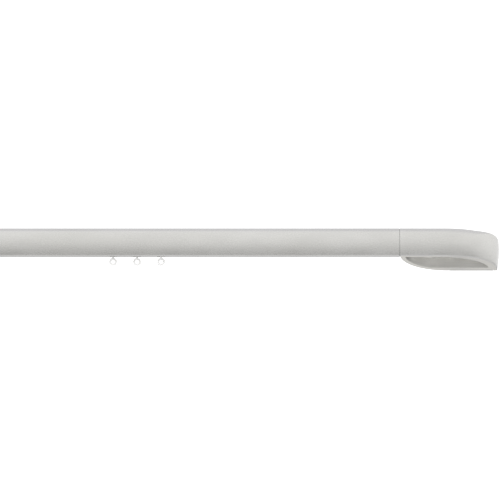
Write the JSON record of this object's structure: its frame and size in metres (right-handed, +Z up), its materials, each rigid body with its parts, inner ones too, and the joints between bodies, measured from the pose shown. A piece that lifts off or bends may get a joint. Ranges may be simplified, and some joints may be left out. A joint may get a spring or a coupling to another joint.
{
  "type": "curtain rod with return brackets",
  "caption": "Straight satin metal curtain rod with a glider track underneath and a curved hollow bracket at each end that returns it to the wall.",
  "frame": {"origin": "on the wall plane, at the centre of the four wall holes: mid-length and mid-height of the rod", "axes": "+X along the rod, +Y into the wall, +Z up"},
  "size_m": [1, 0.048, 0.0384],
  "materials": {
    "rod_metal": "fine satin, warm grey, brushed along the rod",
    "bracket_metal": "fine satin, warm grey",
    "plate_steel": "zinc plated",
    "screw_steel": "zinc plated",
    "spigot_aluminium": "as extruded",
    "runner_nylon": "moulded nylon",
    "eye_nylon": "moulded translucent nylon"
  },
  "bodies": {
    "root": {"rod_profile": "rod_metal", "end_bracket_right": "bracket_metal", "wall_plate_right": "plate_steel", "plate_lock_screw_right": "screw_steel", "joining_spigot_right": "spigot_aluminium", "spigot_screws_right": "screw_steel", "bracket_grub_screw_right": "screw_steel", "end_stop_right": "runner_nylon", "end_stop_screw_right": "screw_steel", "end_bracket_left": "bracket_metal", "wall_plate_left": "plate_steel", "plate_lock_screw_left": "screw_steel", "joining_spigot_left": "spigot_aluminium", "spigot_screws_left": "screw_steel", "bracket_grub_screw_left": "screw_steel", "end_stop_left": "runner_nylon", "end_stop_screw_left": "screw_steel"},
    "glider_right_1": {"glider_carrier_right_1": "runner_nylon"},
    "eye_right_1": {"ring_eye_right_1": "eye_nylon"},
    "glider_right_2": {"glider_carrier_right_2": "runner_nylon"},
    "eye_right_2": {"ring_eye_right_2": "eye_nylon"},
    "glider_right_3": {"glider_carrier_right_3": "runner_nylon"},
    "eye_right_3": {"ring_eye_right_3": "eye_nylon"},
    "glider_left_1": {"glider_carrier_left_1": "runner_nylon"},
    "eye_left_1": {"ring_eye_left_1": "eye_nylon"},
    "glider_left_2": {"glider_carrier_left_2": "runner_nylon"},
    "eye_left_2": {"ring_eye_left_2": "eye_nylon"},
    "glider_left_3": {"glider_carrier_left_3": "runner_nylon"},
    "eye_left_3": {"ring_eye_left_3": "eye_nylon"}
  },
  "joints": [
    {"name": "glider_right_1_slide", "type": "slide", "parent": "root", "child": "glider_right_1", "axis": [1, 0, 0], "range_m": [-0.1015, 0.1]},
    {"name": "eye_right_1_swivel", "type": "hinge", "parent": "glider_right_1", "child": "eye_right_1", "pos_m": [0.1135, -0.038, -0.0125], "axis": [0, 0, 1], "continuous": true},
    {"name": "glider_right_2_slide", "type": "slide", "parent": "glider_right_1", "child": "glider_right_2", "axis": [1, 0, 0], "range_m": [-0.0115, 0.06]},
    {"name": "eye_right_2_swivel", "type": "hinge", "parent": "glider_right_2", "child": "eye_right_2", "pos_m": [0.1375, -0.038, -0.0125], "axis": [0, 0, 1], "continuous": true},
    {"name": "glider_right_3_slide", "type": "slide", "parent": "glider_right_2", "child": "glider_right_3", "axis": [1, 0, 0], "range_m": [-0.0115, 0.06]},
    {"name": "eye_right_3_swivel", "type": "hinge", "parent": "glider_right_3", "child": "eye_right_3", "pos_m": [0.1615, -0.038, -0.0125], "axis": [0, 0, 1], "continuous": true},
    {"name": "glider_left_1_slide", "type": "slide", "parent": "root", "child": "glider_left_1", "axis": [-1, 0, 0], "range_m": [-0.1015, 0.1]},
    {"name": "eye_left_1_swivel", "type": "hinge", "parent": "glider_left_1", "child": "eye_left_1", "pos_m": [-0.1135, -0.038, -0.0125], "axis": [0, 0, 1], "continuous": true},
    {"name": "glider_left_2_slide", "type": "slide", "parent": "glider_left_1", "child": "glider_left_2", "axis": [-1, 0, 0], "range_m": [-0.0115, 0.06]},
    {"name": "eye_left_2_swivel", "type": "hinge", "parent": "glider_left_2", "child": "eye_left_2", "pos_m": [-0.1375, -0.038, -0.0125], "axis": [0, 0, 1], "continuous": true},
    {"name": "glider_left_3_slide", "type": "slide", "parent": "glider_left_2", "child": "glider_left_3", "axis": [-1, 0, 0], "range_m": [-0.0115, 0.06]},
    {"name": "eye_left_3_swivel", "type": "hinge", "parent": "glider_left_3", "child": "eye_left_3", "pos_m": [-0.1615, -0.038, -0.0125], "axis": [0, 0, 1], "continuous": true}
  ]
}
